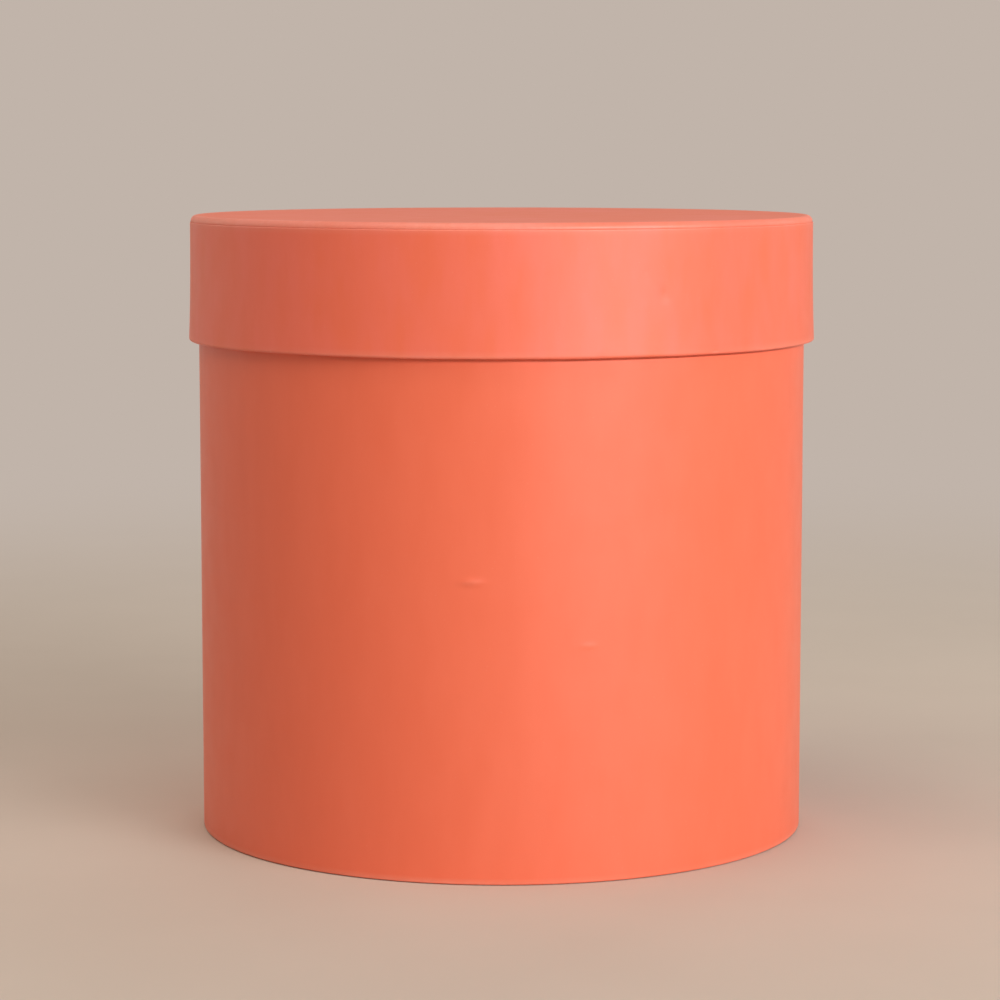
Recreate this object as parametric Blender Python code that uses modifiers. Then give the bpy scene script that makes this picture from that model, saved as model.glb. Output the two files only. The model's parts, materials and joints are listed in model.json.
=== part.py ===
"""A round box of paper-covered board, with an overhanging lid that lifts straight off.

Lengths are in metres and +Z is up. The origin is where the box's axis meets the surface that it stands on.
Every piece is round, so each is drawn as a list of (radius, height) points and turned about that axis.
"""

import math

import bmesh
import bpy
from mathutils import Matrix

# Sizes of the box, measured over its paper
BODY_RADIUS = 0.100
BODY_HEIGHT = 0.200
LID_DEPTH = 0.041
LID_FLARE = 0.0007
FLARE_POWER = 2.5

# Thickness of the stock, and of the glue between two layers
PAPER = 0.00015
CARD = 0.0003
WALL_BOARD = 0.0016
BOTTOM_BOARD = 0.0020
LID_RIM_BOARD = 0.0010
LID_TOP_BOARD = 0.0018
GLUE = 0.0003

# How the lid fits the body
LID_CLEARANCE = 0.0003
SEAT_GAP = 0.0003

# Rounding of the boards' edges, under the paper
WALL_ROUNDING = 0.0004
LID_TOP_ROUNDING = 0.0015
LID_RIM_ROUNDING = 0.0003

# Covering paper that is turned over an edge, and lining that laps over it
BODY_TURN_IN = 0.015
LID_TURN_IN = 0.012
LINING_LAP = 0.008
LAP_RUN = 0.001
TAB_WIDTH = 0.012
UNDERSIDE_INSET = 0.0026
LID_MARGIN = 0.011
LID_SEAM_DROP = 0.0028

# Notches that let a turned edge lie flat on the round
NOTCHES = 30
NOTCH_WIDTH = 0.004
NOTCH_ROOT = 0.0012
MARGIN_NOTCH_WIDTH = 0.002
CUTTER_OVERRUN = 0.0002

# How finely the round pieces are divided
SIDES = 60
FLARE_STEPS = 2
EDGE_STEPS = 2
TOP_EDGE_STEPS = 4
MERGE_DISTANCE = 0.00001
CREASE_ANGLE = math.radians(30)

# Finishes: colour as a hex value, then roughness
CORAL_PAPER = ("EF7452", 0.55)
GREY_BOARD = ("A79C8C", 0.90)
LINING_PAPER = ("F1ECE2", 0.80)

# The body's layers, from the outside in
LAYER = PAPER + GLUE
BOARD_OUTSIDE = BODY_RADIUS - LAYER
BOARD_INSIDE = BOARD_OUTSIDE - WALL_BOARD
BODY_INSIDE = BOARD_INSIDE - LAYER
LAPPED_INSIDE = BODY_INSIDE - LAYER

# The body's layers, from the floor up
TAB_BOTTOM = CARD + GLUE
BOARD_BOTTOM = TAB_BOTTOM + LAYER
BOARD_TOP = BODY_HEIGHT - LAYER
FLOOR_TOP = BOARD_BOTTOM + BOTTOM_BOARD
BODY_TURN_END = BODY_HEIGHT - BODY_TURN_IN

# The lid's layers, from the body's rim up
LID_LINING_BOTTOM = BODY_HEIGHT + SEAT_GAP
TOP_BOARD_BOTTOM = LID_LINING_BOTTOM + LAYER
TOP_BOARD_TOP = TOP_BOARD_BOTTOM + LID_TOP_BOARD
RIM_BOARD_TOP = TOP_BOARD_BOTTOM - GLUE
LID_TOP = TOP_BOARD_TOP + LAYER
LID_BOTTOM = LID_TOP - LID_DEPTH
SEAM_HEIGHT = LID_TOP - LID_SEAM_DROP
MARGIN_END = LID_TOP - LID_MARGIN
LID_TURN_END = LID_BOTTOM + LID_TURN_IN

# How deep each layer of the lid's rim lies under its outer face. The board lies one layer deeper at the top,
# where the margin of the top paper passes outside it, than at the bottom, where the strip is turned in behind it.
DEEP_BOARD = LAYER + LAYER
SHALLOW_BOARD = LAYER
TURN_IN_FACE = SHALLOW_BOARD + LID_RIM_BOARD + GLUE
LINING_FACE = TURN_IN_FACE + LAYER
RIM_THICKNESS = LINING_FACE + PAPER
LID_RADIUS = BODY_RADIUS + LID_CLEARANCE + RIM_THICKNESS
TOP_BOARD_RADIUS = LID_RADIUS - DEEP_BOARD
LID_LINING_RADIUS = LID_RADIUS - RIM_THICKNESS - GLUE


def rim_radius(height):
    """Outer radius of the lid's rim at a height: almost straight, then flared towards its lower edge."""
    fall = (LID_TOP - height) / LID_DEPTH
    return LID_RADIUS + LID_FLARE * fall**FLARE_POWER


def rim_heights(top, bottom):
    """Heights from top to bottom at which every layer of the lid's rim has a ring of points."""
    board_shifts = [MARGIN_END - LAP_RUN, LID_TURN_END + LAP_RUN]
    flare_run = LID_TURN_END - LID_BOTTOM
    flare = [LID_TURN_END - flare_run * step / FLARE_STEPS for step in range(FLARE_STEPS)]
    between = [height for height in board_shifts + flare if bottom < height < top]
    return [top, *sorted(between, reverse=True), bottom]


def rim_face(inset, top, bottom):
    """Points down the lid's rim, at a constant depth under its outer face."""
    return [(rim_radius(height) - inset, height) for height in rim_heights(top, bottom)]


def board_inset(height):
    """Depth of the rim board's outer side under the rim's outer face."""
    start = MARGIN_END - LAP_RUN
    end = LID_TURN_END + LAP_RUN
    share = min(max((start - height) / (start - end), 0), 1)
    return DEEP_BOARD + (SHALLOW_BOARD - DEEP_BOARD) * share


def arc(centre, radius, start, end, steps):
    """Points of an arc round (radius, height), between two angles in degrees, where 0 points outwards."""
    points = []
    for step in range(steps + 1):
        angle = math.radians(start + (end - start) * step / steps)
        points.append((centre[0] + radius * math.cos(angle), centre[1] + radius * math.sin(angle)))
    return points


def without_repeats(points):
    """The points, less each one that falls on the one before it."""
    kept = points[:1]
    for point in points[1:]:
        if math.dist(point, kept[-1]) > MERGE_DISTANCE:
            kept.append(point)
    return kept


def sheet(face, back):
    """Outline of a folded sheet, from the path of its face and the path of its back."""
    return face + back[::-1]


def colour_of(code):
    """Linear colour of a hex colour."""
    channels = [int(code[at : at + 2], 16) / 255 for at in (0, 2, 4)]
    return [c / 12.92 if c <= 0.04045 else ((c + 0.055) / 1.055) ** 2.4 for c in channels]


def finish(name, look):
    """Material of one piece."""
    code, roughness = look
    material = bpy.data.materials.new(name)
    material.use_nodes = True
    shader = material.node_tree.nodes["Principled BSDF"]
    shader.inputs["Base Color"].default_value = (*colour_of(code), 1)
    shader.inputs["Roughness"].default_value = roughness
    shader.inputs["Metallic"].default_value = 0
    return material


def collection(name, hidden=False):
    """A new collection of the scene."""
    made = bpy.data.collections.new(name)
    made.hide_render = hidden
    bpy.context.scene.collection.children.link(made)
    return made


def turned(name, outline, look, parent):
    """One round piece: its outline, drawn from the piece's own lowest height and turned about the axis."""
    outline = without_repeats(outline)
    foot = min(height for _, height in outline)
    on_axis = outline[0][0] == 0
    points = [(radius, 0, height - foot) for radius, height in outline]
    edges = [(index, index + 1) for index in range(len(points) - 1)]
    if not on_axis:
        edges.append((len(points) - 1, 0))
    mesh = bpy.data.meshes.new(name)
    mesh.from_pydata(points, edges, [])
    piece = bpy.data.objects.new(name, mesh)
    piece.parent = parent
    piece.location.z = foot - parent.location.z
    parts.objects.link(piece)
    turn = piece.modifiers.new("turn", "SCREW")
    turn.axis = "Z"
    turn.angle = math.tau
    turn.steps = SIDES
    turn.render_steps = SIDES
    turn.use_merge_vertices = True
    turn.merge_threshold = MERGE_DISTANCE
    bake(piece)
    piece.data.materials.append(finish(name, look))
    return piece


def bake(piece):
    """Replace a piece's mesh with its evaluated one, shaded smooth round the turn and sharp at its edges."""
    graph = bpy.context.evaluated_depsgraph_get()
    mesh = bpy.data.meshes.new_from_object(piece.evaluated_get(graph))
    mesh.name = piece.name
    piece.modifiers.clear()
    piece.data = mesh
    mesh.shade_smooth()
    mesh.set_sharp_from_angle(angle=CREASE_ANGLE)


def notch_cutter(name, half_size, place):
    """Lozenges round the axis, one for each notch. half_size runs along the notch, across it and through the paper."""
    work = bmesh.new()
    stretch = Matrix.Diagonal((*half_size, 1))
    half_a_side = math.pi / SIDES
    for index in range(NOTCHES):
        turn = Matrix.Rotation(math.tau * index / NOTCHES + half_a_side, 4, "Z")
        lozenge = turn @ place @ stretch
        bmesh.ops.create_cone(work, cap_ends=True, segments=4, radius1=1, radius2=1, depth=2, matrix=lozenge)
    mesh = bpy.data.meshes.new(name)
    work.to_mesh(mesh)
    work.free()
    cutter = bpy.data.objects.new(name, mesh)
    cutter.display_type = "WIRE"
    cutter.hide_render = True
    cutters.objects.link(cutter)
    return cutter


def notch(piece, cutter):
    """Cut a ring of notches from a piece."""
    cut = piece.modifiers.new("notches", "BOOLEAN")
    cut.operation = "DIFFERENCE"
    cut.solver = "EXACT"
    cut.object = cutter


def disc(radius, bottom, thickness):
    """Outline of a flat disc on the axis."""
    top = bottom + thickness
    return [(0, top), (radius, top), (radius, bottom), (0, bottom)]


def body_wall_board():
    """Rolled tube of board, with both edges of its rim and its outer lower edge rounded."""
    low = BOARD_BOTTOM + WALL_ROUNDING
    high = BOARD_TOP - WALL_ROUNDING
    outer = BOARD_OUTSIDE - WALL_ROUNDING
    inner = BOARD_INSIDE + WALL_ROUNDING
    outline = arc((outer, high), WALL_ROUNDING, 90, 0, EDGE_STEPS)
    outline += arc((outer, low), WALL_ROUNDING, 0, -90, EDGE_STEPS)
    outline += [(BOARD_INSIDE, BOARD_BOTTOM)]
    outline += arc((inner, high), WALL_ROUNDING, 180, 90, EDGE_STEPS)
    return turned("body_wall_board", outline, GREY_BOARD, box_body)


def body_bottom_board():
    """Disc of board set into the lower end of the tube."""
    outline = disc(BOARD_INSIDE - GLUE, BOARD_BOTTOM, BOTTOM_BOARD)
    return turned("body_bottom_board", outline, GREY_BOARD, box_body)


def body_wrap_path(depth):
    """One side of the body's covering paper, from the turned-in edge over the rim to the end of the tabs."""
    radius = WALL_ROUNDING + LAYER - depth
    high = BOARD_TOP - WALL_ROUNDING
    low = BOARD_BOTTOM + WALL_ROUNDING
    outer = BOARD_OUTSIDE - WALL_ROUNDING
    inner = BOARD_INSIDE + WALL_ROUNDING
    path = [(BODY_INSIDE + depth, BODY_TURN_END)]
    path += arc((inner, high), radius, 180, 90, EDGE_STEPS)
    path += arc((outer, high), radius, 90, 0, EDGE_STEPS)
    path += arc((outer, low), radius, 0, -90, EDGE_STEPS)
    path += [(BODY_RADIUS - TAB_WIDTH, TAB_BOTTOM + depth)]
    return path


def body_wrap():
    """Covering paper of the body, with notched tabs under the bottom."""
    piece = turned("body_wrap", sheet(body_wrap_path(0), body_wrap_path(PAPER)), CORAL_PAPER, box_body)
    tab_end = BODY_RADIUS - TAB_WIDTH
    root = BOARD_OUTSIDE - NOTCH_ROOT
    half_size = (root - tab_end, NOTCH_WIDTH / 2, PAPER / 2 + CUTTER_OVERRUN)
    place = Matrix.Translation((tab_end, 0, TAB_BOTTOM + PAPER / 2))
    notch(piece, notch_cutter("tab_notches", half_size, place))
    return piece


def body_underside_card():
    """Disc of card under the tabs, on which the box rests."""
    outline = disc(BODY_RADIUS - UNDERSIDE_INSET, 0, CARD)
    return turned("body_underside_card", outline, CORAL_PAPER, box_body)


def body_lining_path(depth):
    """One side of the wall's lining, up from the floor and over the turned-in covering paper."""
    return [
        (BODY_INSIDE + depth, FLOOR_TOP + GLUE),
        (BODY_INSIDE + depth, BODY_TURN_END - LAP_RUN - LAP_RUN),
        (LAPPED_INSIDE + depth, BODY_TURN_END - LAP_RUN),
        (LAPPED_INSIDE + depth, BODY_TURN_END + LINING_LAP),
    ]


def body_wall_lining():
    """Lining paper of the wall."""
    outline = sheet(body_lining_path(0), body_lining_path(PAPER))
    return turned("body_wall_lining", outline, LINING_PAPER, box_body)


def body_floor_lining():
    """Lining paper of the bottom."""
    outline = disc(BODY_INSIDE - GLUE, FLOOR_TOP + GLUE, PAPER)
    return turned("body_floor_lining", outline, LINING_PAPER, box_body)


def lid_rim_board():
    """Ring of board, which passes from inside the top paper's margin to outside the turned-in strip."""
    low = LID_BOTTOM + LAYER + LID_RIM_ROUNDING
    faces = []
    for extra in (0, LID_RIM_BOARD):
        heights = rim_heights(RIM_BOARD_TOP, low)
        faces.append([(rim_radius(height) - board_inset(height) - extra, height) for height in heights])
    outer, inner = faces
    outline = outer[:-1]
    outline += arc((outer[-1][0] - LID_RIM_ROUNDING, low), LID_RIM_ROUNDING, 0, -90, EDGE_STEPS)
    outline += arc((inner[-1][0] + LID_RIM_ROUNDING, low), LID_RIM_ROUNDING, -90, -180, EDGE_STEPS)
    outline += inner[-2::-1]
    return turned("lid_rim_board", outline, GREY_BOARD, lid_lift)


def lid_top_board():
    """Disc of board on top of the ring, with its upper edge rounded."""
    rounding = min(LID_TOP_ROUNDING, LID_TOP_BOARD)
    outline = [(0, TOP_BOARD_TOP)]
    outline += arc((TOP_BOARD_RADIUS - rounding, TOP_BOARD_TOP - rounding), rounding, 90, 0, TOP_EDGE_STEPS)
    outline += [(TOP_BOARD_RADIUS, TOP_BOARD_BOTTOM), (0, TOP_BOARD_BOTTOM)]
    return turned("lid_top_board", outline, GREY_BOARD, lid_lift)


def lid_top_paper_path(depth):
    """One side of the top's covering paper, from the axis over the rounded edge to the end of its margin."""
    rounding = min(LID_TOP_ROUNDING, LID_TOP_BOARD)
    centre = (TOP_BOARD_RADIUS - rounding, TOP_BOARD_TOP - rounding)
    path = [(0, LID_TOP - depth)]
    path += arc(centre, rounding + LAYER - depth, 90, 0, TOP_EDGE_STEPS)
    path += [(rim_radius(MARGIN_END) - LAYER - depth, MARGIN_END)]
    return path


def lid_top_paper():
    """Covering paper of the lid's top, with a notched margin that the rim's strip hides."""
    outline = sheet(lid_top_paper_path(0), lid_top_paper_path(PAPER))
    piece = turned("lid_top_paper", outline, CORAL_PAPER, lid_lift)
    root = SEAM_HEIGHT - NOTCH_ROOT
    half_size = (root - MARGIN_END, MARGIN_NOTCH_WIDTH / 2, PAPER / 2 + CUTTER_OVERRUN)
    upright = Matrix.Rotation(math.radians(-90), 4, "Y")
    place = Matrix.Translation((LID_RADIUS - LAYER - PAPER / 2, 0, MARGIN_END)) @ upright
    notch(piece, notch_cutter("margin_notches", half_size, place))
    return piece


def lid_rim_wrap_path(depth):
    """One side of the rim's covering strip, from the seam down, round the lower edge and up the inside."""
    low = LID_BOTTOM + LAYER + LID_RIM_ROUNDING
    radius = LID_RIM_ROUNDING + LAYER - depth
    outer = rim_radius(low) - SHALLOW_BOARD - LID_RIM_ROUNDING
    inner = rim_radius(low) - SHALLOW_BOARD - LID_RIM_BOARD + LID_RIM_ROUNDING
    path = rim_face(depth, SEAM_HEIGHT, low)[:-1]
    path += arc((outer, low), radius, 0, -90, EDGE_STEPS)
    path += arc((inner, low), radius, -90, -180, EDGE_STEPS)
    path += rim_face(LINING_FACE - GLUE - depth, LID_TURN_END, low)[-2::-1]
    return path


def lid_rim_wrap():
    """Covering strip of the lid's rim."""
    outline = sheet(lid_rim_wrap_path(0), lid_rim_wrap_path(PAPER))
    return turned("lid_rim_wrap", outline, CORAL_PAPER, lid_lift)


def lid_rim_lining():
    """Lining paper of the lid's rim, which laps over the turned-in strip."""
    top = LID_LINING_BOTTOM + PAPER
    bottom = LID_TURN_END - LINING_LAP
    outline = rim_face(LINING_FACE, top, bottom) + rim_face(RIM_THICKNESS, top, bottom)[::-1]
    return turned("lid_rim_lining", outline, LINING_PAPER, lid_lift)


def lid_top_lining():
    """Lining paper under the lid's top, which rests on the body's rim."""
    outline = disc(LID_LINING_RADIUS, LID_LINING_BOTTOM, PAPER)
    return turned("lid_top_lining", outline, LINING_PAPER, lid_lift)


def empty(name, height):
    """An empty on the axis, which carries the pieces of one half of the box."""
    made = bpy.data.objects.new(name, None)
    made.location.z = height
    made.empty_display_size = BODY_RADIUS
    parts.objects.link(made)
    return made


for leftover in list(bpy.data.objects):
    bpy.data.objects.remove(leftover)

parts = collection("round_box")
cutters = collection("cutters", hidden=True)
box_body = empty("box_body", 0)
lid_lift = empty("lid_lift", BODY_HEIGHT)

body_wall_board()
body_bottom_board()
body_wrap()
body_underside_card()
body_wall_lining()
body_floor_lining()

lid_rim_board()
lid_top_board()
lid_top_paper()
lid_rim_wrap()
lid_rim_lining()
lid_top_lining()
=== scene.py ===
"""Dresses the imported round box: coral paper over board, with a lid that lifts straight off.

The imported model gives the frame, and every piece here takes its place from a node of it. Lengths are in
metres, +Z is up, and the origin is on the box's axis, where the box stands. A round piece starts as a
section: a list of rows, each of them one ring of the piece. A Geometry Nodes tree winds the section round
the axis as the real sheet is wound, with its overlap, its puckers and its notched tabs.
"""

import json
import logging
import math
from collections.abc import Callable, Iterable
from dataclasses import dataclass, field, replace
from enum import Enum
from functools import partial
from typing import Any

import bpy
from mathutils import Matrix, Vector

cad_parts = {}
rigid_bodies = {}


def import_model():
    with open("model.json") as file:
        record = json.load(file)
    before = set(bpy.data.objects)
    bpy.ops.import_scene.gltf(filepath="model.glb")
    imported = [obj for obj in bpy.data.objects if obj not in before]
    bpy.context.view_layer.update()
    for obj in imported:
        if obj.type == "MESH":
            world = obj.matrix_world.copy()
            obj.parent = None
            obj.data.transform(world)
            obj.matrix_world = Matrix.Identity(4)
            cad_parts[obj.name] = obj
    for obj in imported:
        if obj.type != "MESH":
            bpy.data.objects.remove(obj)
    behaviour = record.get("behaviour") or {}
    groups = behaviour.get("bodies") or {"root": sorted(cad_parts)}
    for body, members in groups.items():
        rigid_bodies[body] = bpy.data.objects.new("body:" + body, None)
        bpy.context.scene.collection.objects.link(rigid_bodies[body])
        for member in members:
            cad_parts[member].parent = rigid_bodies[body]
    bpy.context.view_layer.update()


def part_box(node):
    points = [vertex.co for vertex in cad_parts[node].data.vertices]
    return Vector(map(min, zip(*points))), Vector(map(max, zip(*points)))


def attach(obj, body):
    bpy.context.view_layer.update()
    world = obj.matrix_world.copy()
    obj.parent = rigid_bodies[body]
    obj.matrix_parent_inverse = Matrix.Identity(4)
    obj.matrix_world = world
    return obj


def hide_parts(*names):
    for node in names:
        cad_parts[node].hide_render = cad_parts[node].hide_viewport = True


MM = 0.001
TURN = math.tau
log = logging.getLogger("round_box")

Pair = tuple[float, float]
Triple = tuple[float, float, float]
Socket = bpy.types.NodeSocket
Adder = Callable[..., Socket]
FULL: Pair = (0.0, 1.0)

# Degrees in a full turn, and the bearing of the box's front, in degrees round from +X
CIRCLE, FRONT = 360, -90

# Directions round a section's corner, in degrees
IN_FROM_BELOW, DOWN, OUT, UP, IN = -180, -90, 0, 90, 180

# The Mix node's sockets for colours go by place, because its sockets share their names
SHARE, FIRST, SECOND = 0, 6, 7
BLEND = {"data_type": "RGBA", "out": 2}
SMOOTH = {"interpolation_type": "SMOOTHSTEP"}
SMOOTHER = {"interpolation_type": "SMOOTHERSTEP"}
NUMBER = {"data_type": "FLOAT"}
ON_POINTS = {"domain": "POINT", **NUMBER}
ON_FACES = {"domain": "FACE", **NUMBER}
SEEDED = {"noise_dimensions": "4D"}
TRAITS = ("worn", "pucker", "notch", "sway")


class Half(Enum):
    """The halves of the box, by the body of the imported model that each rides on."""

    BODY = "box_body"
    LID = "lid"


class Slot(Enum):
    """The record's material slots."""

    CORAL = "coral_paper"
    BOARD = "grey_board"
    LINING = "lining_paper"


def linear(code: str) -> tuple[float, float, float, float]:
    """Turn an sRGB hex colour into a linear one.

    Args:
        code: six hex digits.

    Returns:
        Linear red, green and blue, and an alpha of 1.
    """
    channels = [int(code[at : at + 2], 16) / 255 for at in (0, 2, 4)]
    red, green, blue = (c / 12.92 if c <= 0.04045 else ((c + 0.055) / 1.055) ** 2.4 for c in channels)
    return red, green, blue, 1.0


def add(
    tree: bpy.types.NodeTree, kind: str, inputs: dict | tuple = (), out: int | str = 0, **settings: Any
) -> Socket | bpy.types.Node:
    """Add a node to a tree, with its settings and its links.

    Args:
        tree: the node tree.
        kind: the node's type, as Blender names it.
        inputs: a value, or a socket to link, for each input, by name or in order. None leaves one as it is.
        out: the output that is wanted, by name or by place.
        settings: the node's own properties.

    Returns:
        The wanted output, or the node itself where it has no outputs.
    """
    made = tree.nodes.new(kind)
    for name, value in settings.items():
        setattr(made, name, value)
    for key, value in inputs.items() if isinstance(inputs, dict) else enumerate(inputs):
        if isinstance(value, bpy.types.NodeSocket):
            tree.links.new(value, made.inputs[key])
        elif value is not None:
            made.inputs[key].default_value = value
    return made.outputs[out] if len(made.outputs) else made


def blank_material(name: str) -> tuple[bpy.types.Material, Adder]:
    """Start a material with an empty tree.

    Args:
        name: the material's name.

    Returns:
        The material, and the function that adds a node to its tree.
    """
    material = bpy.data.materials.new(name)
    material.use_nodes = True
    material.node_tree.nodes.clear()
    return material, partial(add, material.node_tree)


def two_toned(node: Adder, pattern: Socket, span: Pair, low: str, high: str) -> Socket:
    """Colour that goes from one tone to another as a pattern rises.

    Args:
        node: adds a node to the tree.
        pattern: the pattern.
        span: the pattern's values at which each tone is pure.
        low: the tone of its low places, as six hex digits.
        high: the tone of its high places.

    Returns:
        Socket with the colour.
    """
    share = node("ShaderNodeMapRange", (pattern, *span, *FULL))
    return node("ShaderNodeMix", {SHARE: share, FIRST: linear(low), SECOND: linear(high)}, **BLEND)


def finish_material(node: Adder, colour: Socket, rough: Socket, relief: Socket, ior: float) -> None:
    """End a material's tree in its surface.

    Args:
        node: adds a node to the tree.
        colour: the surface's colour.
        rough: its roughness.
        relief: its bent normal.
        ior: its refractive index, which sets how strongly it shines.
    """
    look = {"Base Color": colour, "Roughness": rough, "Normal": relief, "IOR": ior}
    node("ShaderNodeOutputMaterial", {"Surface": node("ShaderNodeBsdfPrincipled", look)})


@dataclass(frozen=True)
class Pattern:
    """A noise pattern.

    Attributes:
        size: how far apart its high places are.
        detail: how many finer patterns lie over it.
        roughness: how strong those are.
        distortion: how much it is bent.
    """

    size: float
    detail: float
    roughness: float = 0.5
    distortion: float = 0.0

    def over(self, place: Socket) -> dict[str, Any]:
        """Inputs of a noise node that draws the pattern.

        Args:
            place: the coordinates that it reads.

        Returns:
            A value or a socket for each input, by name.
        """
        return {
            "Vector": place,
            "Scale": 1 / self.size,
            "Detail": self.detail,
            "Roughness": self.roughness,
            "Distortion": self.distortion,
        }


@dataclass(frozen=True)
class Mark:
    """A small dent or ridge that handling has left in the paper.

    Attributes:
        bearing: where it is round the box, in degrees to the right of the front.
        height: where it is above the ground.
        length: how long it is, along the paper.
        width: how wide it is.
        slant: how far its length is turned from level, in degrees.
        rise: how far it stands out, or less than zero for a dent.
        rubbed: how much it has paled the colour, from 0 to 1.
    """

    bearing: float
    height: float
    length: float
    width: float
    slant: float
    rise: float
    rubbed: float

    @property
    def angle(self) -> float:
        """Angle round the axis, from +X."""
        return math.radians(self.bearing + FRONT)

    def place(self, radius: float) -> Vector:
        """Point on the paper at the mark's middle."""
        return Vector((radius * math.cos(self.angle), radius * math.sin(self.angle), self.height))

    def inputs(self, radius: float) -> dict[str, Any]:
        """Inputs of the tree that presses the mark into a face.

        Args:
            radius: the face's radius.

        Returns:
            A value for each input, by name.
        """
        return {
            "Place": self.place(radius),
            "Angle": self.angle,
            "Slant": math.radians(self.slant),
            "Half Length": self.length / 2,
            "Half Width": self.width / 2,
            "Rise": self.rise,
        }


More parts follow.
